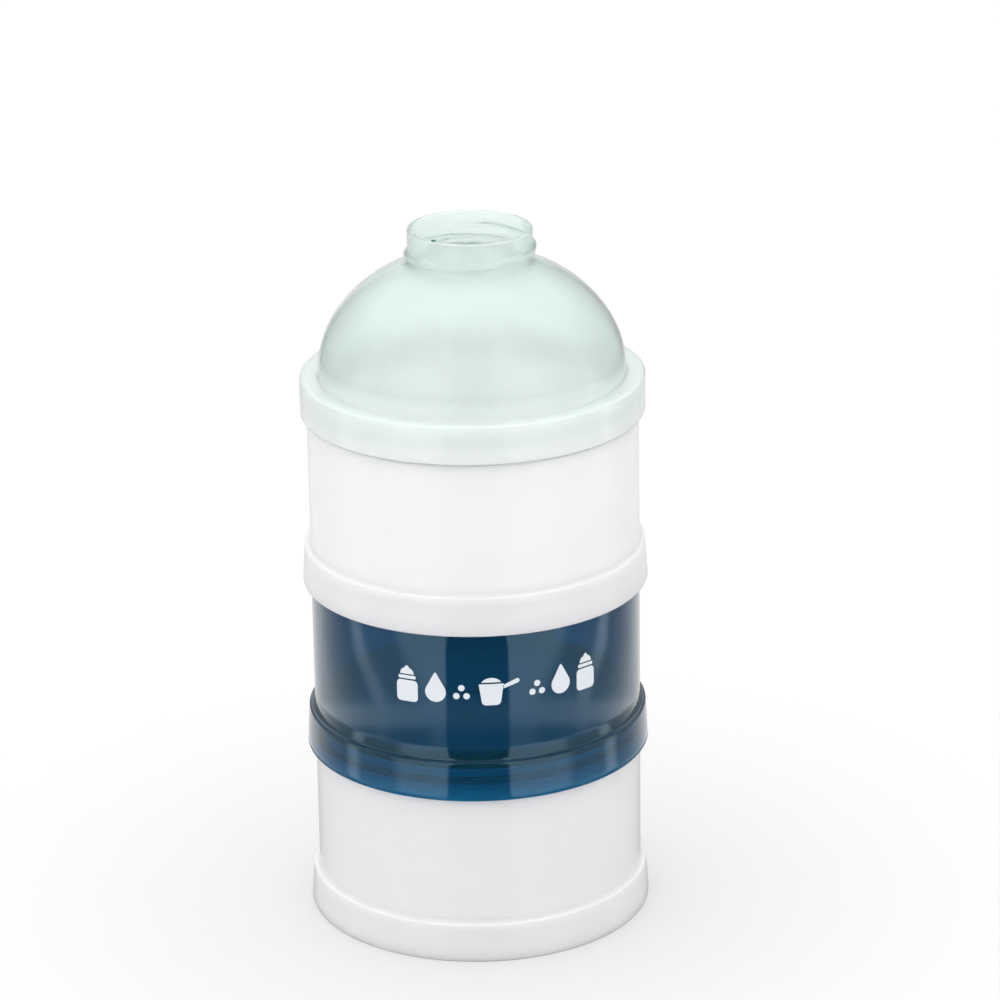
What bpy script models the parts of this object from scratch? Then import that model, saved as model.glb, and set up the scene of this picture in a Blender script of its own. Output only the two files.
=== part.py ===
"""Formula dispenser: three powder cups that screw onto each other, under a dome lid with a pouring spout.

Every cup is the same moulding. A skirt under its floor screws over the threaded neck of the cup below,
and a silicone ring seals the joint. The dome lid screws on in the same way.
Metres, +Z up. The origin is on the stack's axis, at the plane that it stands on.
"""

import math

import bmesh
import bpy

MM = 0.001

# The stack
CUPS = ("lower", "middle", "upper")
CUP_PITCH = 45.3 * MM            # from one cup's foot to the next one's
LID_PLANE = 146.3 * MM           # flat top of the lid's ring

# A cup's outside
WALL_RADIUS = 42.9 * MM
SKIRT_TOP_RADIUS = 44.4 * MM
SKIRT_FOOT_RADIUS = 45.0 * MM
SKIRT_HEIGHT = 10.4 * MM
SKIRT_TOP_ROUND = 0.6 * MM
SKIRT_FOOT_ROUND = 1.0 * MM
WALL_TOP_ROUND = 0.5 * MM

# A cup's inside
FLOOR_THICKNESS = 1.6 * MM
CAVITY_RADIUS = 40.7 * MM
CAVITY_CORNER_ROUND = 2.5 * MM

# The screw joint. Heights are above the foot of the upper one of the two pieces.
TOUCH_GAP = 0.3 * MM             # between pieces that touch on the real object
NECK_BORE_RADIUS = 40.9 * MM
NECK_RADIUS = 41.8 * MM
NECK_RIM_HEIGHT = 7.2 * MM
SOCKET_RADIUS = 43.2 * MM
SOCKET_CEILING = 8.6 * MM
PLUG_OUTER_RADIUS = 39.6 * MM
PLUG_INNER_RADIUS = 38.4 * MM
PLUG_DEPTH = 2.4 * MM
SEAL_INNER_RADIUS = 40.0 * MM
SEAL_OUTER_RADIUS = 41.8 * MM

# The screw joint's threads
THREAD_LEAD = 3.6 * MM
THREAD_TURNS = 1.25
THREAD_BASE = 2.0 * MM
THREAD_CREST = 1.0 * MM
NECK_THREAD_DEPTH = 1.0 * MM
SOCKET_THREAD_DEPTH = 1.05 * MM
NECK_THREAD_START = 0.85 * MM    # height of the thread's middle at its lower end

# The dome lid
LID_RING_RADIUS = 44.5 * MM
LID_RING_HEIGHT = 10.0 * MM
DOME_RADIUS = 39.7 * MM
DOME_RISE = 31.5 * MM
DOME_STRAIGHT = 0.6 * MM
DOME_WALL = 1.5 * MM
SPOUT_RADIUS = 16.05 * MM
SPOUT_BORE_RADIUS = 14.75 * MM
SPOUT_RIM = 38.4 * MM            # above the flat top of the ring
SPOUT_FILLET = 1.5 * MM

# The spout's thread, for a small screw cap
SPOUT_THREAD_LEAD = 3.2 * MM
SPOUT_THREAD_TURNS = 1.25
SPOUT_THREAD_BASE = 2.4 * MM
SPOUT_THREAD_CREST = 1.0 * MM
SPOUT_THREAD_DEPTH = 0.9 * MM
SPOUT_THREAD_START = 30.1 * MM   # above the flat top of the ring

TURN_STEPS = 40
THREAD_ROOT = 0.4 * MM           # how deep a thread is rooted in its wall
THREAD_RUN_OUT_STEPS = 3
MERGE_DISTANCE = 0.00001


def empty_scene():
    for thing in list(bpy.data.objects):
        bpy.data.objects.remove(thing, do_unlink=True)


def collection(name):
    made = bpy.data.collections.new(name)
    bpy.context.scene.collection.children.link(made)
    return made


def plastic(name, colour, roughness, transmission=0.0):
    material = bpy.data.materials.new(name)
    material.use_nodes = True
    shader = material.node_tree.nodes["Principled BSDF"]
    shader.inputs["Base Color"].default_value = (*colour, 1.0)
    shader.inputs["Roughness"].default_value = roughness
    shader.inputs["Metallic"].default_value = 0.0
    shader.inputs["Transmission Weight"].default_value = transmission
    material.diffuse_color = (*colour, 1.0)
    return material


def arc(centre_r, centre_z, radius, start, end, steps):
    """Points on an arc of an outline. Angles are in degrees, from the direction away from the axis."""
    points = []
    for i in range(steps + 1):
        angle = math.radians(start + (end - start) * i / steps)
        points.append((centre_r + radius * math.cos(angle), centre_z + radius * math.sin(angle)))
    return points


def turned(name, outline, closed, height, material, parts):
    """Turns an outline of (radius, z) points about the stack's axis. Its outer side runs downwards."""
    mesh = bpy.data.meshes.new(name)
    edges = [(i, i + 1) for i in range(len(outline) - 1)]
    if closed:
        edges.append((len(outline) - 1, 0))
    mesh.from_pydata([(radius, 0.0, z) for radius, z in outline], edges, [])
    mesh.materials.append(material)
    piece = bpy.data.objects.new(name, mesh)
    piece.location.z = height
    parts.objects.link(piece)
    screw = piece.modifiers.new("turn", "SCREW")
    screw.steps = TURN_STEPS
    screw.render_steps = TURN_STEPS
    screw.use_merge_vertices = True
    screw.merge_threshold = MERGE_DISTANCE
    screw.use_smooth_shade = True
    return piece


def thread(name, wall_radius, depth, base, crest, lead, turns, start, cutters):
    """A right-handed screw thread as a solid, rooted in the wall. A negative depth points inwards."""
    outwards = math.copysign(1.0, depth)
    root_radius = wall_radius - outwards * THREAD_ROOT
    root_half = base / 2 + THREAD_ROOT * (base - crest) / 2 / abs(depth)
    crest_radius = wall_radius + depth
    section = (
        (root_radius, -root_half),
        (crest_radius, -crest / 2),
        (crest_radius, crest / 2),
        (root_radius, root_half),
    )
    steps = round(TURN_STEPS * turns)
    shape = bmesh.new()
    corners = [shape.verts.new((radius, 0.0, start + z)) for radius, z in section]
    first = shape.faces.new(corners)
    bmesh.ops.spin(
        shape, geom=[first], cent=(0, 0, 0), axis=(0, 0, 1), dvec=(0, 0, lead / TURN_STEPS),
        angle=2 * math.pi * turns, steps=steps, use_duplicate=False,
    )
    shape.verts.ensure_lookup_table()
    # the crest runs out into the wall at both ends
    for vertex in shape.verts:
        place = vertex.index // len(section)
        share = (min(place, steps - place) + 0.5) / THREAD_RUN_OUT_STEPS
        radius = vertex.co.xy.length
        if share < 1.0 and abs(radius - crest_radius) < MERGE_DISTANCE:
            vertex.co.xy *= (wall_radius + depth * share) / radius
    bmesh.ops.recalc_face_normals(shape, faces=shape.faces)
    mesh = bpy.data.meshes.new(name)
    shape.to_mesh(mesh)
    shape.free()
    ridge = bpy.data.objects.new(name, mesh)
    # half a step round, so that no edge of the thread lies on an edge of the wall
    ridge.rotation_euler.z = math.pi / TURN_STEPS
    ridge.hide_render = True
    ridge.display_type = "WIRE"
    cutters.objects.link(ridge)
    return ridge


def join(piece, ridge):
    ridge.parent = piece
    union = piece.modifiers.new(ridge.name, "BOOLEAN")
    union.operation = "UNION"
    union.solver = "EXACT"
    union.object = ridge


def socket_thread(owner, foot, cutters):
    """The thread inside a skirt, half a lead off the neck's thread, so that the two never touch."""
    start = foot + NECK_THREAD_START + THREAD_LEAD / 2
    name = f"{owner}_socket_thread"
    return thread(name, SOCKET_RADIUS, -SOCKET_THREAD_DEPTH, THREAD_BASE, THREAD_CREST,
                  THREAD_LEAD, THREAD_TURNS, start, cutters)


def cup_outline():
    """From the middle of the floor, up the inside, over the rim, down the outside and under the floor."""
    floor_top = SOCKET_CEILING + FLOOR_THICKNESS
    rim = CUP_PITCH + NECK_RIM_HEIGHT
    wall_top = CUP_PITCH - TOUCH_GAP
    plug_end = SOCKET_CEILING - PLUG_DEPTH
    outline = [(0.0, floor_top)]
    outline += arc(CAVITY_RADIUS - CAVITY_CORNER_ROUND, floor_top + CAVITY_CORNER_ROUND,
                   CAVITY_CORNER_ROUND, -90, 0, 3)
    outline += [(NECK_BORE_RADIUS, rim), (NECK_RADIUS, rim), (NECK_RADIUS, wall_top)]
    outline += arc(WALL_RADIUS - WALL_TOP_ROUND, wall_top - WALL_TOP_ROUND, WALL_TOP_ROUND, 90, 0, 2)
    outline += [(WALL_RADIUS, SKIRT_HEIGHT)]
    outline += arc(SKIRT_TOP_RADIUS - SKIRT_TOP_ROUND, SKIRT_HEIGHT - SKIRT_TOP_ROUND,
                   SKIRT_TOP_ROUND, 90, 0, 2)
    outline += arc(SKIRT_FOOT_RADIUS - SKIRT_FOOT_ROUND, SKIRT_FOOT_ROUND, SKIRT_FOOT_ROUND, 0, -90, 3)
    outline += [
        (SOCKET_RADIUS, 0.0),
        (SOCKET_RADIUS, SOCKET_CEILING),
        (PLUG_OUTER_RADIUS, SOCKET_CEILING),
        (PLUG_OUTER_RADIUS, plug_end),
        (PLUG_INNER_RADIUS, plug_end),
        (PLUG_INNER_RADIUS, SOCKET_CEILING),
        (0.0, SOCKET_CEILING),
    ]
    return outline


def cup(level, material, parts, cutters):
    name = f"cup_{CUPS[level]}"
    piece = turned(name, cup_outline(), False, level * CUP_PITCH, material, parts)
    neck = thread(f"{name}_neck_thread", NECK_RADIUS, NECK_THREAD_DEPTH, THREAD_BASE, THREAD_CREST,
                  THREAD_LEAD, THREAD_TURNS, CUP_PITCH + NECK_THREAD_START, cutters)
    join(piece, neck)
    join(piece, socket_thread(name, 0.0, cutters))
    return piece


def dome_arc(radius, rise, from_radius, to_radius, steps):
    """Points on the dome's elliptical outline between two radii."""
    start = math.acos(from_radius / radius)
    end = math.acos(to_radius / radius)
    points = []
    for i in range(steps + 1):
        angle = start + (end - start) * i / steps
        points.append((radius * math.cos(angle), DOME_STRAIGHT + rise * math.sin(angle)))
    return points


def spout_fillet(steps):
    """A curve from the spout's wall into the dome."""
    reach = SPOUT_RADIUS + SPOUT_FILLET
    foot = DOME_STRAIGHT + DOME_RISE * math.sqrt(1 - (SPOUT_RADIUS / DOME_RADIUS) ** 2)
    end = DOME_STRAIGHT + DOME_RISE * math.sqrt(1 - (reach / DOME_RADIUS) ** 2)
    corners = ((SPOUT_RADIUS, foot + SPOUT_FILLET), (SPOUT_RADIUS, foot), (reach, end))
    points = []
    for i in range(steps + 1):
        t = i / steps
        weights = ((1 - t) ** 2, 2 * t * (1 - t), t * t)
        points.append(tuple(sum(w * c[k] for w, c in zip(weights, corners)) for k in range(2)))
    return points


def lid_outline():
    """From the spout's rim, down the outside to the ring's foot, and up the inside. Heights from LID_PLANE."""
    foot = -LID_RING_HEIGHT
    ceiling = len(CUPS) * CUP_PITCH + SOCKET_CEILING - LID_PLANE
    plug_end = ceiling - PLUG_DEPTH
    inner_radius = DOME_RADIUS - DOME_WALL
    edge = SKIRT_TOP_ROUND
    outline = [(SPOUT_RADIUS, SPOUT_RIM)]
    outline += spout_fillet(2)
    outline += dome_arc(DOME_RADIUS, DOME_RISE, SPOUT_RADIUS + SPOUT_FILLET, DOME_RADIUS, 8)[1:]
    outline += [(DOME_RADIUS, 0.0)]
    outline += arc(LID_RING_RADIUS - edge, -edge, edge, 90, 0, 2)
    outline += arc(LID_RING_RADIUS - edge, foot + edge, edge, 0, -90, 2)
    outline += [
        (SOCKET_RADIUS, foot),
        (SOCKET_RADIUS, ceiling),
        (PLUG_OUTER_RADIUS, ceiling),
        (PLUG_OUTER_RADIUS, plug_end),
        (PLUG_INNER_RADIUS, plug_end),
    ]
    outline += dome_arc(inner_radius, DOME_RISE - DOME_WALL, inner_radius, SPOUT_BORE_RADIUS, 8)
    outline += [(SPOUT_BORE_RADIUS, SPOUT_RIM)]
    return outline


def dome_lid(material, parts, cutters):
    piece = turned("dome_lid", lid_outline(), True, LID_PLANE, material, parts)
    spout = thread("spout_thread", SPOUT_RADIUS, SPOUT_THREAD_DEPTH, SPOUT_THREAD_BASE, SPOUT_THREAD_CREST,
                   SPOUT_THREAD_LEAD, SPOUT_THREAD_TURNS, SPOUT_THREAD_START, cutters)
    join(piece, spout)
    foot = len(CUPS) * CUP_PITCH - LID_PLANE
    join(piece, socket_thread("dome_lid", foot, cutters))
    return piece


def seal(level, material, parts):
    """The flat silicone ring between a neck's rim and the floor or plate above it."""
    low = NECK_RIM_HEIGHT + TOUCH_GAP
    high = SOCKET_CEILING - TOUCH_GAP
    outline = [
        (SEAL_OUTER_RADIUS, high),
        (SEAL_OUTER_RADIUS, low),
        (SEAL_INNER_RADIUS, low),
        (SEAL_INNER_RADIUS, high),
    ]
    height = (level + 1) * CUP_PITCH
    return turned(f"seal_{CUPS[level]}", outline, True, height, material, parts)


def build():
    empty_scene()
    parts = collection("formula_dispenser")
    cutters = collection("thread_shapes")
    milky = plastic("milky_polypropylene", (0.86, 0.86, 0.88), 0.32, 0.2)
    navy = plastic("navy_translucent_polypropylene", (0.01, 0.05, 0.10), 0.12, 0.4)
    mint = plastic("mint_translucent_polypropylene", (0.66, 0.84, 0.76), 0.25, 0.5)
    silicone = plastic("clear_silicone", (0.80, 0.82, 0.82), 0.45, 0.3)
    for level, material in enumerate((milky, navy, milky)):
        cup(level, material, parts, cutters)
        seal(level, silicone, parts)
    dome_lid(mint, parts, cutters)


build()
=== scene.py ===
"""Formula dispenser: three polypropylene powder cups, screwed together, under a dome lid with a spout."""

import math

import bmesh
import bpy
from mathutils import Matrix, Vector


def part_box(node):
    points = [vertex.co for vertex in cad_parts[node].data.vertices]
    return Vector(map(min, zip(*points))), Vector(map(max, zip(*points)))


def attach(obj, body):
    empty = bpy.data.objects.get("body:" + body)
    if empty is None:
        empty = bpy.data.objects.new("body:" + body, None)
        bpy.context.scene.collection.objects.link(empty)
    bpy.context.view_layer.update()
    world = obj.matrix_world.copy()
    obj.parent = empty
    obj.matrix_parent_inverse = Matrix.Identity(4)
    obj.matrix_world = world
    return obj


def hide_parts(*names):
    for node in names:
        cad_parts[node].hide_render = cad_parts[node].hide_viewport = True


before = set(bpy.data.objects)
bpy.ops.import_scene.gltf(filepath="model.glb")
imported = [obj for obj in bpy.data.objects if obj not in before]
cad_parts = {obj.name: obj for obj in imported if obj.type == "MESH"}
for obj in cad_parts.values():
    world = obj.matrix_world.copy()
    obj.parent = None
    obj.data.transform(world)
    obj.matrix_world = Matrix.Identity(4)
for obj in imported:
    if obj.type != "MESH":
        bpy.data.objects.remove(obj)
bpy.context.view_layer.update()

# ---------------------------------------------------------------- the cups
# Each cup is one injection moulding: floor, wall, threaded neck, and a skirt that screws over the
# next cup's neck. The upper and lower cups are milky polypropylene, and the middle one is tinted navy.

MM = 0.001
ROUND_STEPS = 256                   # facets round every turned piece

CUP_LEVELS = ("lower", "middle", "upper")
FOOT = [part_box(f"cup_{level}")[0][2] for level in CUP_LEVELS]
PITCH = (FOOT[1] - FOOT[0]) / MM    # outlines are in millimetres above the cup's foot
RIM = (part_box("cup_lower")[1][2] - FOOT[0]) / MM
FOOT_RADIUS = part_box("cup_lower")[1][0] / MM

SKIRT_HEIGHT = 10.4
SKIRT_TOP_RADIUS = 44.4
WALL_RADIUS = 42.9
SHOULDER_GAP = 0.3                  # between the wall's top and the next cup's foot
NECK_RADIUS = 41.8
NECK_BORE = 40.9
CAVITY_RADIUS = 40.7
SOCKET_RADIUS = 43.2
MOUTH_RADIUS = 44.1                 # the socket flares to this at its foot, so the skirt's edge is thin
MOUTH_HEIGHT = 3.4
CEILING = 8.6                       # underside of the floor
FLOOR = 10.2
PLUG_OUTER = 39.6                   # the ring under the floor that holds the seal
PLUG_INNER = 38.4
PLUG_END = 6.2
GATE_RADIUS = 3.6                   # dimple round the injection point, under the floor
THREAD_ROW = 0.15                   # height of a row of faces across a thread
RUN_OUT = 0.075                     # of a turn, over which a thread fades at each end


def corner(centre_r, centre_z, radius, start, end, steps=6):
    """Points on a round edge of an outline, from one direction to another, in degrees."""
    turn = [math.radians(start + (end - start) * i / steps) for i in range(steps + 1)]
    return [(centre_r + radius * math.cos(a), centre_z + radius * math.sin(a)) for a in turn]


def run(start, end, spacing):
    """Evenly spaced points between two points of an outline, without the two."""
    count = max(1, round(math.dist(start, end) / spacing))
    share = [i / count for i in range(1, count)]
    return [(start[0] + (end[0] - start[0]) * t, start[1] + (end[1] - start[1]) * t) for t in share]


def outline_of(*parts):
    """Joins corners and points into one outline. A number between two of them is the spacing of a run."""
    points = []
    spacing = None
    for part in parts:
        if isinstance(part, float):
            spacing = part
            continue
        new = part if isinstance(part, list) else [part]
        if spacing is not None:
            points += run(points[-1], new[0], spacing)
            spacing = None
        points += new
    return points


def skirt_foot(outer):
    """The round foot of a skirt and the flared mouth of its socket."""
    return outline_of(
        corner(outer - 0.4, 0.4, 0.4, 0, -90, 8),
        corner(MOUTH_RADIUS + 0.15, 0.15, 0.15, 270, 180, 3), THREAD_ROW,
        (SOCKET_RADIUS, MOUTH_HEIGHT),
    )


def turned(outline, height, closed):
    """A bmesh turned from an outline of (radius, z) points in millimetres above a height in metres."""
    shape = bmesh.new()
    verts = [shape.verts.new((radius * MM, 0.0, height + z * MM)) for radius, z in outline]
    edges = [shape.edges.new(pair) for pair in zip(verts, verts[1:])]
    if closed:
        edges.append(shape.edges.new((verts[-1], verts[0])))
    bmesh.ops.spin(
        shape, geom=verts + edges, cent=(0, 0, 0), axis=(0, 0, 1), angle=2 * math.pi,
        steps=ROUND_STEPS, use_merge=True, use_duplicate=False,
    )
    bmesh.ops.remove_doubles(shape, verts=shape.verts, dist=0.002 * MM)
    bmesh.ops.recalc_face_normals(shape, faces=shape.faces)
    return shape


def raise_thread(shape, walls, depth, start, lead, turns, base, crest, height):
    """Pushes a right-handed thread out of the walls between two radii. A negative depth goes inwards."""
    nearest, furthest = walls[0] - 0.01, walls[1] + 0.01
    low = height + (start - base / 2) * MM
    high = height + (start + lead * turns + base / 2) * MM
    for vertex in shape.verts:
        radius = vertex.co.xy.length
        if not (low < vertex.co.z < high and nearest <= radius / MM <= furthest):
            continue
        angle = math.atan2(vertex.co.y, vertex.co.x) / (2 * math.pi) % 1.0
        z = (vertex.co.z - height) / MM
        share = 0.0
        for whole in range(math.ceil(turns)):
            along = angle + whole
            if along > turns:
                continue
            off = abs(z - start - lead * along)
            flank = min(1.0, max(0.0, (base / 2 - off) / ((base - crest) / 2)))
            end = min(1.0, min(along, turns - along) / RUN_OUT)
            share = max(share, flank * flank * (3 - 2 * flank) * end * (2 - end))
        vertex.co.xy *= 1 + share * depth * MM / radius


JOINT_THREAD = {"lead": 3.6, "turns": 1.25, "base": 2.0, "crest": 1.0}
NECK_THREAD_DEPTH = 1.0
SOCKET_THREAD_DEPTH = -1.05
NECK_THREAD_START = 0.85            # above the shoulder, at its lower end


def finished(shape, name, material, body, *nodes):
    """Makes a smooth mesh piece with sharp edges, which stands for CAD nodes and rides on a body."""
    mesh = bpy.data.meshes.new(name)
    shape.to_mesh(mesh)
    shape.free()
    mesh.materials.append(material)
    mesh.shade_smooth()
    mesh.set_sharp_from_angle(angle=math.radians(32))
    piece = bpy.data.objects.new(name, mesh)
    bpy.context.scene.collection.objects.link(piece)
    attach(piece, body)
    if nodes:
        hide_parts(*nodes)
    return piece


def cup_outline():
    """From the middle of the floor up the inside, over the rim, down the outside and under the floor."""
    wall_top = PITCH - SHOULDER_GAP
    return outline_of(
        (0.0, FLOOR), 8.0, corner(CAVITY_RADIUS - 2.5, FLOOR + 2.5, 2.5, -90, 0, 8), 4.0,
        corner(NECK_BORE + 0.3, RIM - 0.3, 0.3, 180, 90, 4),
        corner(NECK_RADIUS - 0.3, RIM - 0.3, 0.3, 90, 0, 4), THREAD_ROW,
        corner(NECK_RADIUS + 0.2, wall_top + 0.2, 0.2, 180, 270, 3),
        corner(WALL_RADIUS - 0.5, wall_top - 0.5, 0.5, 90, 0), 3.0,
        corner(WALL_RADIUS + 0.8, SKIRT_HEIGHT + 0.8, 0.8, 180, 270),
        corner(SKIRT_TOP_RADIUS - 0.6, SKIRT_HEIGHT - 0.6, 0.6, 90, 0), 2.0,
        skirt_foot(FOOT_RADIUS), THREAD_ROW,
        corner(SOCKET_RADIUS - 0.3, CEILING - 0.3, 0.3, 0, 90, 3), 1.5,
        corner(PLUG_OUTER + 0.3, CEILING - 0.3, 0.3, 90, 180, 3), 0.8,
        corner(PLUG_OUTER - 0.4, PLUG_END + 0.4, 0.4, 0, -90, 4),
        corner(PLUG_INNER + 0.4, PLUG_END + 0.4, 0.4, 270, 180, 4), 0.8,
        corner(PLUG_INNER - 0.6, CEILING - 0.6, 0.6, 0, 90, 4), 6.0,
        corner(GATE_RADIUS, CEILING + 0.3, 0.3, -90, -180, 3), (1.0, CEILING + 0.3),
        (0.8, CEILING), (0.0, CEILING - 0.1),
    )


def cup(level, material):
    """One cup, with the thread on its neck and the one in its socket."""
    index = CUP_LEVELS.index(level)
    height = FOOT[index]
    shape = turned(cup_outline(), height, False)
    neck_start = PITCH + NECK_THREAD_START
    socket_start = NECK_THREAD_START + JOINT_THREAD["lead"] / 2
    for walls, depth, start in (
        ((NECK_RADIUS, NECK_RADIUS), NECK_THREAD_DEPTH, neck_start),
        ((SOCKET_RADIUS, MOUTH_RADIUS), SOCKET_THREAD_DEPTH, socket_start),
    ):
        raise_thread(shape, walls, depth, start, height=height, **JOINT_THREAD)
    return finished(shape, f"{level}_cup", material, f"{level}_cup", f"cup_{level}")


def srgb(text):
    """A linear colour from a hex value such as "c8d7d2"."""
    channels = [int(text[i:i + 2], 16) / 255 for i in (0, 2, 4)]
    linear = [c / 12.92 if c <= 0.04045 else ((c + 0.055) / 1.055) ** 2.4 for c in channels]
    return (*linear, 1.0)


def add(tree, kind, settings=None, **links):
    """Adds a node. Settings are its values, and links what feeds its sockets, _ standing for a space."""
    node = tree.nodes.new(kind)
    for key, value in (settings or {}).items():
        if hasattr(node, key):
            setattr(node, key, value)
        else:
            node.inputs[key].default_value = value
    for key, source in links.items():
        tree.links.new(source, node.inputs[key.replace("_", " ")])
    return node


def moulded_plastic(name, shader_settings, roughness, wave, absorb=None):
    """A moulded plastic with a faintly wavy surface. absorb is its tint and its density per metre."""
    material = bpy.data.materials.new(name)
    material.use_nodes = True
    tree = material.node_tree
    tree.nodes.clear()
    place = add(tree, "ShaderNodeTexCoord").outputs["Object"]
    # mould texture and handling wear, some millimetres across, vary the gloss
    cloud = add(tree, "ShaderNodeTexNoise", {"Scale": 160.0, "Detail": 3.0}, Vector=place)
    gloss = add(tree, "ShaderNodeMapRange", {"To Min": roughness[0], "To Max": roughness[1]},
                Value=cloud.outputs["Fac"])
    # sink and flow of the melt: a wave about 12 mm long and a few thousandths of a millimetre deep
    flow = add(tree, "ShaderNodeTexNoise", {"Scale": 80.0, "Detail": 1.0}, Vector=place)
    bump = add(tree, "ShaderNodeBump", {"Strength": 1.0, "Distance": wave}, Height=flow.outputs["Fac"])
    shader = add(tree, "ShaderNodeBsdfPrincipled", shader_settings,
                 Roughness=gloss.outputs["Result"], Normal=bump.outputs["Normal"])
    output = add(tree, "ShaderNodeOutputMaterial", Surface=shader.outputs["BSDF"])
    if absorb:
        volume = add(tree, "ShaderNodeVolumeAbsorption", {"Color": srgb(absorb[0]), "Density": absorb[1]})
        tree.links.new(volume.outputs["Volume"], output.inputs["Volume"])
    return material


# Milky polypropylene, moulded in a polished tool: light sinks in and spreads, so the walls look soft
# and white all over, and only the rounded edges shine.
milky = moulded_plastic(
    "milky_polypropylene",
    {"Base Color": srgb("fdfbff"), "IOR": 1.49, "Transmission Weight": 0.25, "Subsurface Weight": 0.8,
     "Subsurface Radius": (1.0, 1.0, 1.0), "Subsurface Scale": 0.004},
    (0.20, 0.26), 0.00001,
)
# Navy polypropylene, deeply tinted and polished: a clear skin mirrors the room in dark blue, and the
# skirt turns a lighter blue towards its foot, where it is thinnest.
navy = moulded_plastic(
    "navy_tinted_polypropylene",
    {"Base Color": srgb("40bbe8"), "IOR": 1.49, "Transmission Weight": 0.95,
     "Specular Tint": (0.10, 0.60, 1.00, 1.0),
     "Coat Weight": 1.0, "Coat IOR": 1.49, "Coat Roughness": 0.03},
    (0.03, 0.06), 0.00001, absorb=("3872a5", 720.0),
)
for level, plastic in zip(CUP_LEVELS, (milky, navy, milky)):
    cup(level, plastic)

# ---------------------------------------------------------------- the print
# A row of white pictograms, with a scoop between grains, drops and bottles, is screen printed on the
# front of the navy cup. The ink is a thin film that follows the wall.

PRINT_FOOT = 25.8                   # above the navy cup's foot
PRINT_MIDDLE = 5.8                  # to the right of the front, along the wall
INK_BELOW = 0.010                   # both sides of the film, out from the wall
INK_ABOVE = 0.030
FILM_STEP = 0.75                    # width of the film's facets
PICTOGRAM_REACH = 8.0               # no pictogram is wider than this to either side of its middle


def pad(left, foot, right, top, radius):
    """A rectangle with round corners."""
    return (
        corner(right - radius, top - radius, radius, 0, 90)
        + corner(left + radius, top - radius, radius, 90, 180)
        + corner(left + radius, foot + radius, radius, 180, 270)
        + corner(right - radius, foot + radius, radius, 270, 360)
    )


# Each pictogram is one or more outlines, in millimetres from the middle of its foot.
teat_shoulders = corner(0.0, 7.45, 1.9, 0, 52, 5), corner(0.0, 7.45, 1.9, 128, 180, 5)
BOTTLE = (
    pad(-2.9, 0.0, 2.9, 5.8, 1.1),
    pad(-2.4, 6.2, 2.4, 7.1, 0.3),
    teat_shoulders[0] + corner(0.0, 9.2, 0.6, -10, 190, 10) + teat_shoulders[1],
)
GRAINS = [corner(x, z, 0.85, 0, 345, 23) for x, z in ((-1.3, 2.6), (1.3, 2.6), (0.0, 4.8))]
DROP_RADIUS = 2.7
DROP_MIDDLE = 3.4                   # of its round part, above the print's foot
DROP_HEIGHT = 5.6                   # of the tip above that
drop_side = math.degrees(math.acos(DROP_RADIUS / DROP_HEIGHT))
DROP = (
    corner(0.0, DROP_MIDDLE, DROP_RADIUS, 90 + drop_side, 450 - drop_side, 28)
    + corner(0.0, DROP_MIDDLE + DROP_HEIGHT - 0.6, 0.3, 90 - drop_side, 90 + drop_side, 4),
)
SCOOP = (
    corner(-2.8, 1.2, 1.2, 180, 270) + corner(-0.2, 1.2, 1.2, 270, 360) + [(1.7, 5.8), (-4.7, 5.8)],
    corner(-1.5, 4.2, 3.3, 38, 142, 12),
    [(1.85, 5.5), (1.6, 4.4)] + corner(5.2, 6.3, 0.6, -72, 108, 6),
)


def film(outline, across):
    """A flat outline, wrapped round the wall at its place across the front."""
    shape = bmesh.new()
    verts = [shape.verts.new((x + across, 0.0, z)) for x, z in outline]
    edges = [shape.edges.new(pair) for pair in zip(verts, verts[1:] + verts[:1])]
    bmesh.ops.contextual_create(shape, geom=edges)
    cut = math.floor((across - PICTOGRAM_REACH) / FILM_STEP) * FILM_STEP
    while cut < across + PICTOGRAM_REACH:
        everything = shape.verts[:] + shape.edges[:] + shape.faces[:]
        bmesh.ops.bisect_plane(shape, geom=everything, plane_co=(cut, 0, 0), plane_no=(1, 0, 0), dist=0.001)
        cut += FILM_STEP
    lower = shape.verts[:]
    raised = bmesh.ops.extrude_face_region(shape, geom=shape.faces[:], use_keep_orig=True)["geom"]
    upper = [item for item in raised if isinstance(item, bmesh.types.BMVert)]
    for side, out in ((lower, INK_BELOW), (upper, INK_ABOVE)):
        for vertex in side:
            angle = (vertex.co.x + PRINT_MIDDLE) / WALL_RADIUS
            radius = (WALL_RADIUS + out) * MM
            height = FOOT[1] + (vertex.co.z + PRINT_FOOT) * MM
            vertex.co = (radius * math.sin(angle), -radius * math.cos(angle), height)
    bmesh.ops.recalc_face_normals(shape, faces=shape.faces)
    return shape


# White screen ink: an opaque film, a little duller than the gloss round it, so it stays flat and even.
ink = moulded_plastic(
    "white_screen_ink", {"Base Color": srgb("d0d5db"), "IOR": 1.5}, (0.36, 0.48), 0.000004,
)
for name, pictogram, across in (
    ("left_bottle", BOTTLE, -24.2), ("left_drop", DROP, -16.6), ("left_grains", GRAINS, -9.9),
    ("scoop", SCOOP, -0.8), ("right_grains", GRAINS, 9.7), ("right_drop", DROP, 16.4),
    ("right_bottle", BOTTLE, 24.2),
):
    print_mesh = bpy.data.meshes.new("pictogram")
    whole = bmesh.new()
    for outline in pictogram:
        part = film(outline, across)
        part.to_mesh(print_mesh)
        part.free()
        whole.from_mesh(print_mesh)
    bpy.data.meshes.remove(print_mesh)
    finished(whole, f"print_{name}", ink, "middle_cup")

# ---------------------------------------------------------------- the seals
# A flat ring of translucent silicone round the plug ring under each floor, and under the lid's plate.
# It is pressed between the neck's rim below and the plastic above.

SEAL_ROUND = 0.25
SEAL_GAP = 0.4                      # round the plug ring
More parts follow.
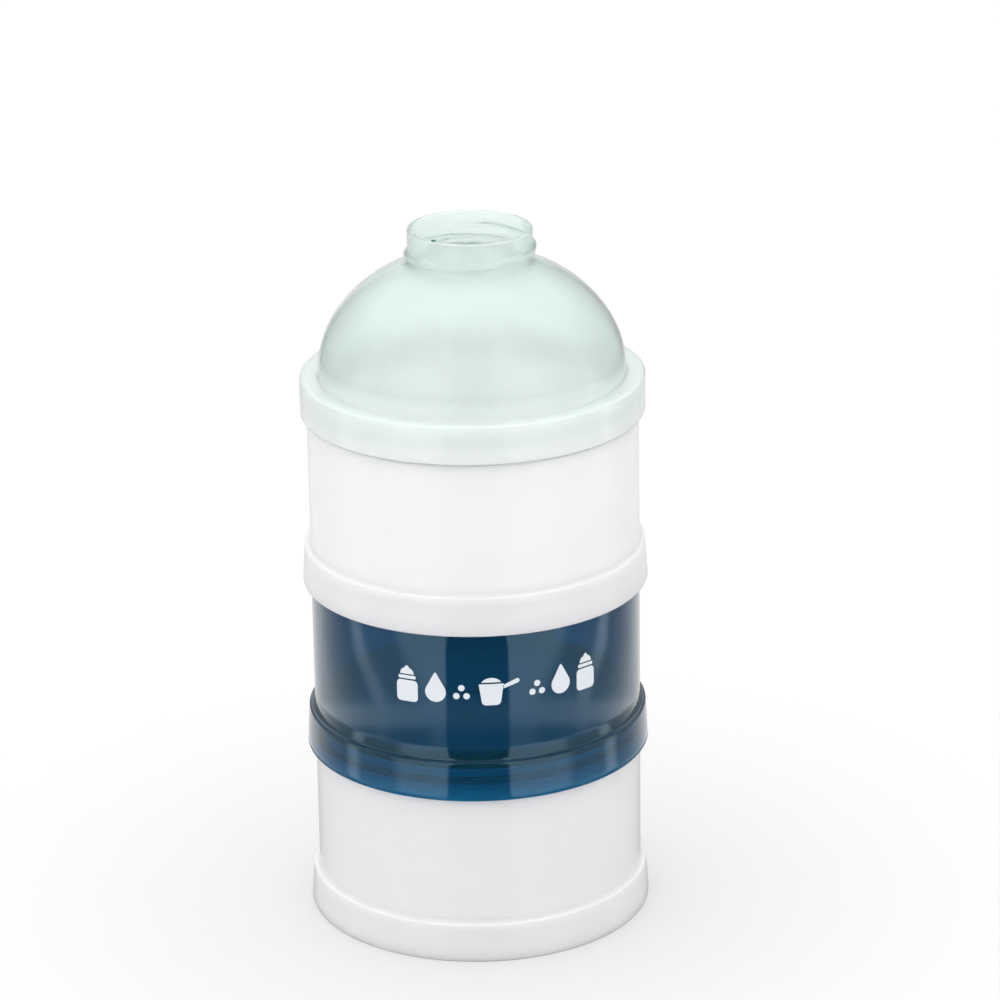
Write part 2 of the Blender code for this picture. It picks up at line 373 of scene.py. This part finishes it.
# Translucent silicone, moulded matt: cloudy and soft, so it reads as rubber beside the glossy plastic.
silicone = moulded_plastic(
    "translucent_silicone",
    {"Base Color": srgb("e6eae9"), "IOR": 1.41, "Subsurface Weight": 0.6,
     "Subsurface Radius": (1.0, 1.0, 1.0), "Subsurface Scale": 0.003},
    (0.42, 0.55), 0.00001,
)


def seal(level):
    """One flat ring, with its four edges rounded."""
    low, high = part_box(f"seal_{level}")
    edge = SEAL_ROUND
    outer = high[0] / MM - edge
    inner = PLUG_OUTER + SEAL_GAP + edge
    top = (high[2] - low[2]) / MM - edge
    outline = outline_of(
        corner(outer, top, edge, 90, 0, 4), corner(outer, edge, edge, 0, -90, 4),
        corner(inner, edge, edge, 270, 180, 4), corner(inner, top, edge, 180, 90, 4),
    )
    shape = turned(outline, low[2], True)
    return finished(shape, f"{level}_seal", silicone, f"{level}_seal", f"seal_{level}")


for level in CUP_LEVELS:
    seal(level)

# ---------------------------------------------------------------- the dome lid
# One moulding of pale mint polypropylene, clear enough to see into: a ring that screws on like a cup,
# a half-egg dome with a thin wall, and a spout whose neck has a thread for a small cap.

LID_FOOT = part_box("dome_lid")[0][2]
LID_RIM = (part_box("dome_lid")[1][2] - LID_FOOT) / MM      # heights are above the ring's foot
RING_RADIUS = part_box("dome_lid")[1][0] / MM
RING_TOP = 10.0
RING_CEILING = (FOOT[2] - LID_FOOT) / MM + PITCH + CEILING
RING_PLUG_END = RING_CEILING - (CEILING - PLUG_END)
DOME_BASE = RING_TOP + 0.6          # where the dome's ellipse starts
DOME_RADIUS = 39.7
DOME_RISE = 31.5
DOME_WALL = 1.5
SPOUT_RADIUS = 16.05
SPOUT_BORE = 14.75
SPOUT_FILLET = 1.5
SPOUT_THREAD = {"lead": 3.2, "turns": 1.25, "base": 2.4, "crest": 1.0}
SPOUT_THREAD_DEPTH = 0.9
SPOUT_THREAD_START = 40.1           # above the ring's foot, at its lower end
CLEAR_ABOVE = 5.0                   # above the ring, where the dome's own clearness is reached
RING_CLEARNESS = 0.42
DOME_CLEARNESS = 0.72


def ellipse(radius, rise, start_r, end_r, steps):
    """Points on the dome's outline between two radii."""
    start, end = math.acos(start_r / radius), math.acos(end_r / radius)
    turn = [start + (end - start) * i / steps for i in range(steps + 1)]
    return [(radius * math.cos(a), DOME_BASE + rise * math.sin(a)) for a in turn]


def bend(first, middle, last, steps):
    """A smooth curve from first to last that leaves and arrives towards middle."""
    points = []
    for i in range(steps + 1):
        t = i / steps
        weights = ((1 - t) ** 2, 2 * t * (1 - t), t * t)
        points.append(tuple(sum(w * p[k] for w, p in zip(weights, (first, middle, last))) for k in (0, 1)))
    return points


def lid_outline():
    """From the spout's rim down the outside to the ring's foot, and up the inside."""
    outer = ellipse(DOME_RADIUS, DOME_RISE, SPOUT_RADIUS + SPOUT_FILLET, DOME_RADIUS, 40)
    inside_radius, inside_rise = DOME_RADIUS - DOME_WALL, DOME_RISE - DOME_WALL
    inner = ellipse(inside_radius, inside_rise, inside_radius, SPOUT_BORE + 1.2, 40)
    meet = DOME_BASE + DOME_RISE * math.sqrt(1 - (SPOUT_RADIUS / DOME_RADIUS) ** 2)
    under = inner[-1][1] + 0.6
    return outline_of(
        corner(SPOUT_RADIUS - 0.4, LID_RIM - 0.4, 0.4, 90, 0, 5), THREAD_ROW,
        bend((SPOUT_RADIUS, meet + SPOUT_FILLET), (SPOUT_RADIUS, meet), outer[0], 8)[:-1], outer,
        corner(DOME_RADIUS + 0.5, RING_TOP + 0.5, 0.5, 180, 270, 5), 1.2,
        corner(RING_RADIUS - 0.7, RING_TOP - 0.7, 0.7, 90, 0), 2.0,
        skirt_foot(RING_RADIUS), THREAD_ROW,
        corner(SOCKET_RADIUS - 0.3, RING_CEILING - 0.3, 0.3, 0, 90, 3), 1.5,
        corner(PLUG_OUTER + 0.3, RING_CEILING - 0.3, 0.3, 90, 180, 3), 0.8,
        corner(PLUG_OUTER - 0.4, RING_PLUG_END + 0.4, 0.4, 0, -90, 4),
        corner(PLUG_INNER + 0.4, RING_PLUG_END + 0.4, 0.4, 270, 180, 4), 1.5,
        inner[:-1], bend(inner[-1], (SPOUT_BORE, under), (SPOUT_BORE, under + 1.5), 6), 2.0,
        corner(SPOUT_BORE + 0.4, LID_RIM - 0.4, 0.4, 180, 90, 5),
    )


lid_shape = turned(lid_outline(), LID_FOOT, True)
lid_socket_start = (FOOT[2] - LID_FOOT) / MM + PITCH + NECK_THREAD_START + JOINT_THREAD["lead"] / 2
for walls, depth, start, thread in (
    ((SOCKET_RADIUS, MOUTH_RADIUS), SOCKET_THREAD_DEPTH, lid_socket_start, JOINT_THREAD),
    ((SPOUT_RADIUS, SPOUT_RADIUS), SPOUT_THREAD_DEPTH, SPOUT_THREAD_START, SPOUT_THREAD),
):
    raise_thread(lid_shape, walls, depth, start, height=LID_FOOT, **thread)

# Mint polypropylene, clarified and polished: pale and hazy, so its far side shows softly through it. The
# tint is in its depth, so it gathers towards the edges, and a glossy skin gives the shine.
mint = moulded_plastic(
    "mint_clear_polypropylene",
    {"Base Color": srgb("fbfbfa"), "IOR": 1.23, "Subsurface Weight": 0.3,
     "Subsurface Radius": (1.0, 1.0, 1.0), "Subsurface Scale": 0.003,
     "Coat Weight": 1.0, "Coat IOR": 1.45, "Coat Roughness": 0.06, "Coat Tint": (0.980, 1.0, 0.992, 1.0)},
    (0.20, 0.26), 0.00001, absorb=("94e0d8", 90.0),
)
# the thick ring looks milkier than the thin dome
mint_tree = mint.node_tree
mint_place = add(mint_tree, "ShaderNodeTexCoord").outputs["Object"]
mint_height = add(mint_tree, "ShaderNodeSeparateXYZ", Vector=mint_place).outputs["Z"]
clearness = add(mint_tree, "ShaderNodeMapRange", {
    "From Min": LID_FOOT + RING_TOP * MM, "From Max": LID_FOOT + (RING_TOP + CLEAR_ABOVE) * MM,
    "To Min": RING_CLEARNESS, "To Max": DOME_CLEARNESS,
}, Value=mint_height)
mint_shader = mint_tree.nodes["Principled BSDF"]
mint_tree.links.new(clearness.outputs["Result"], mint_shader.inputs["Transmission Weight"])
finished(lid_shape, "dome_lid_moulding", mint, "lid", "dome_lid")

# A nib of plastic is left standing on the spout's rim where the mould was filled.
NIB_ANGLE = math.radians(-37)       # from the front
NIB_SIZE = (1.4, 0.7, 0.5)          # along the rim, across it and up
NIB_RADIUS = 15.2                   # of its middle from the spout's axis
NIB_LIFT = 0.26                     # of its middle above the rim
nib_shape = bmesh.new()
bmesh.ops.create_uvsphere(nib_shape, u_segments=20, v_segments=12, radius=0.5 * MM)
bmesh.ops.scale(nib_shape, vec=NIB_SIZE, verts=nib_shape.verts)
nib_place = (0.0, -NIB_RADIUS * MM, LID_FOOT + (LID_RIM + NIB_LIFT) * MM)
bmesh.ops.translate(nib_shape, vec=nib_place, verts=nib_shape.verts)
nib_turn = Matrix.Rotation(NIB_ANGLE, 3, "Z")
bmesh.ops.rotate(nib_shape, cent=(0, 0, 0), matrix=nib_turn, verts=nib_shape.verts)
# The nib is coloured dark green all over, so it shows as a dark green speck on the pale rim.
nib_plastic = moulded_plastic(
    "dark_green_nib_plastic", {"Base Color": srgb("2c6a5e"), "IOR": 1.49}, (0.30, 0.40), 0.000004,
)
finished(nib_shape, "spout_nib", nib_plastic, "lid")

# ---------------------------------------------------------------- the studio
# A pale floor, a white room that lights everything softly, and a tent in front of the object whose
# two panels and the slot between them show in the gloss.

floor_shape = bmesh.new()
bmesh.ops.create_grid(floor_shape, x_segments=2, y_segments=2, size=6.0)
floor_mesh = bpy.data.meshes.new("floor")
floor_shape.to_mesh(floor_mesh)
floor_shape.free()
# Painted board, quite matt: it stays one pale tone and takes only the object's soft shadow.
painted_board = bpy.data.materials.new("painted_board")
painted_board.use_nodes = True
board_inputs = painted_board.node_tree.nodes["Principled BSDF"].inputs
board_inputs["Base Color"].default_value = srgb("d4d4d4")
board_inputs["Roughness"].default_value = 0.9
board_inputs["Specular IOR Level"].default_value = 0.0
floor_mesh.materials.append(painted_board)
floor = bpy.data.objects.new("floor", floor_mesh)
bpy.context.scene.collection.objects.link(floor)
floor.visible_glossy = False

# Brightness is 1 where white is white. The gloss shows the front tent, whose two panels brighten
# and dim round the object, the seam between them, and two grey flags that stand behind its sides.
# Heights are the upward part of a direction, from -1 to 1, and pairs are the two ends of a soft edge.
TENT = (                            # degrees round from the front, and brightness
    (20, 1.10), (56, 1.10), (64, 0.45), (88, 0.45), (93, 1.10), (98, 1.10), (104, 0.34), (116, 0.40),
    (130, 0.55), (145, 0.72),
)
TENT_TURN = 0.02                    # of half a turn, to the right
CORNERS = (-0.374, -0.392)          # heights between which the panels' lower corners curve in
CORNERS_IN = 0.12                   # of half a turn
SEAM = 0.02                         # brightness of the seam between the panels
SEAM_IN_HEM = 0.30                  # and what it gains where it crosses the hem
SEAM_WIDTH = (0.30, -0.115)         # half of it level with the object, and its change upwards
SEAM_EDGE = (-0.02, 0.02)
FRONT_EDGE = (0.05, -0.05)          # between the back and the front, where the seam is
HEM = 1.10                          # brightness of the tent's hem
HEM_TOP = (-0.3888, -0.3905)
HEM_FOOT = (-0.3940, -0.3952)       # below it lies the table
TABLE = 0.35                        # as a share of the tent's brightness
OVERHEAD = 0.60                     # brightness of a panel straight above
OVERHEAD_EDGE = (0.90, 0.95)
FLAGS = 0.30                        # brightness of the grey flags
FLAG_SIDES = ((0.53, 0.58), (0.94, 0.89))       # of half a turn round from the front
FLAG_HEIGHTS = ((-0.30, -0.20), (0.50, 0.40))
SIDE_LIGHT = 1.46                   # what lights the matt surfaces from all round
TOP_LIGHT = 1.75                    # and from above
TOP_EDGE = (0.70, 0.85)
RIGHT_LOSS = -0.05                  # the right is a little darker than the left
BACKDROP = 1.20                     # behind whatever is seen through
GLOW = 1.50                         # gain of the light that comes inside through the plastic
room = bpy.data.worlds.new("white_room")
bpy.context.scene.world = room
room.use_nodes = True
tree = room.node_tree
tree.nodes.clear()
way = add(tree, "ShaderNodeSeparateXYZ", Vector=add(tree, "ShaderNodeTexCoord").outputs["Generated"])


def calculate(operation, *values):
    """A math node's output. The values are sockets or numbers."""
    node = tree.nodes.new("ShaderNodeMath")
    node.operation = operation
    for socket, value in zip(node.inputs, values):
        if isinstance(value, (int, float)):
            socket.default_value = value
        else:
            tree.links.new(value, socket)
    return node.outputs[0]


def step(value, start, end):
    """0 on start's side and 1 on end's side."""
    settings = {"interpolation_type": "SMOOTHSTEP", "From Min": start, "From Max": end}
    node = add(tree, "ShaderNodeMapRange", settings)
    tree.links.new(value, node.inputs["Value"])
    return node.outputs["Result"]


def blend(share, first, second):
    """From first to second by share."""
    return calculate("MULTIPLY_ADD", share, calculate("SUBTRACT", second, first), first)


up = way.outputs["Z"]
low = step(up, *HEM_FOOT)
hem = calculate("SUBTRACT", step(up, *HEM_TOP), low)
round_from_front = calculate("ARCTAN2", way.outputs["X"], calculate("MULTIPLY", way.outputs["Y"], -1.0))
half_turns = calculate("DIVIDE", round_from_front, math.pi)
turn = calculate("ABSOLUTE", calculate("SUBTRACT", half_turns, TENT_TURN))
leaning = calculate("MULTIPLY_ADD", step(up, *CORNERS), CORNERS_IN, turn)
tent = add(tree, "ShaderNodeValToRGB", Fac=leaning)
stops = tent.color_ramp.elements
while len(stops) < len(TENT):
    stops.new(0.5)
brightest = max(brightness for _, brightness in TENT)
for stop, (degrees, brightness) in zip(stops, TENT):
    stop.position = degrees / 180
    stop.color = (brightness / brightest,) * 3 + (1.0,)
panels = calculate("MULTIPLY", tent.outputs["Color"], brightest)
panels = blend(hem, panels, HEM)
panels = calculate("MULTIPLY", panels, blend(low, 1.0, TABLE))
half_seam = calculate("MULTIPLY_ADD", up, SEAM_WIDTH[1], SEAM_WIDTH[0])
past_seam = calculate("SUBTRACT", calculate("ABSOLUTE", way.outputs["X"]), half_seam)
in_front = step(way.outputs["Y"], *FRONT_EDGE)
seam = calculate("MULTIPLY", calculate("SUBTRACT", 1.0, step(past_seam, *SEAM_EDGE)), in_front)
shown = blend(seam, panels, calculate("MULTIPLY_ADD", hem, SEAM_IN_HEM, SEAM))
shown = calculate("MAXIMUM", shown, calculate("MULTIPLY", step(up, *OVERHEAD_EDGE), OVERHEAD))
beside = calculate("MULTIPLY", step(turn, *FLAG_SIDES[0]), step(turn, *FLAG_SIDES[1]))
level_with = calculate("MULTIPLY", step(up, *FLAG_HEIGHTS[0]), step(up, *FLAG_HEIGHTS[1]))
flags = calculate("MULTIPLY", beside, level_with)
shown = blend(flags, shown, FLAGS)
soft_light = blend(step(up, *TOP_EDGE), SIDE_LIGHT, TOP_LIGHT)
side_to_side = calculate("MULTIPLY_ADD", way.outputs["X"], RIGHT_LOSS, 1.0)
soft_light = calculate("MULTIPLY", soft_light, side_to_side)

# Gloss shows the tent, matt surfaces get the soft light, and what is seen through gets the backdrop. A
# transmitted ray that came off a matt surface lights the inside, so it gets the soft light as well.
ray = add(tree, "ShaderNodeLightPath").outputs
strength = blend(ray["Is Glossy Ray"], soft_light, shown)
after_matt = calculate("MINIMUM", ray["Diffuse Depth"], 1.0)
inside_light = calculate("MULTIPLY", soft_light, GLOW)
seen_through = blend(after_matt, blend(flags, BACKDROP, FLAGS), inside_light)
strength = blend(ray["Is Transmission Ray"], strength, seen_through)
strength = calculate("MAXIMUM", strength, ray["Is Camera Ray"])
background = add(tree, "ShaderNodeBackground", {"Color": (1.0, 1.0, 1.0, 1.0)}, Strength=strength)
add(tree, "ShaderNodeOutputWorld", Surface=background.outputs["Background"])

# The camera stands about 1.1 m away, looks 20 degrees down at the upper cup, and leans a degree.
AIM_HEIGHT = 0.1114
DISTANCE = 1.11034
ELEVATION = 0.3526
LEAN = 0.0172
LENS = 153.9                        # millimetres
SHIFT = (0.0258, -0.0019)
camera_data = bpy.data.cameras.new("camera")
camera_data.lens = LENS
camera_data.sensor_width = 36.0
camera_data.shift_x, camera_data.shift_y = SHIFT
camera = bpy.data.objects.new("camera", camera_data)
camera.location = (
    0.0, -DISTANCE * math.cos(ELEVATION), AIM_HEIGHT + DISTANCE * math.sin(ELEVATION),
)
camera.rotation_euler = (math.pi / 2 - ELEVATION, 0.0, 0.0)
camera.rotation_mode = "XYZ"
bpy.context.scene.collection.objects.link(camera)
camera.rotation_euler.rotate_axis("Z", -LEAN)
bpy.context.scene.camera = camera
bpy.context.scene.view_settings.view_transform = "Standard"
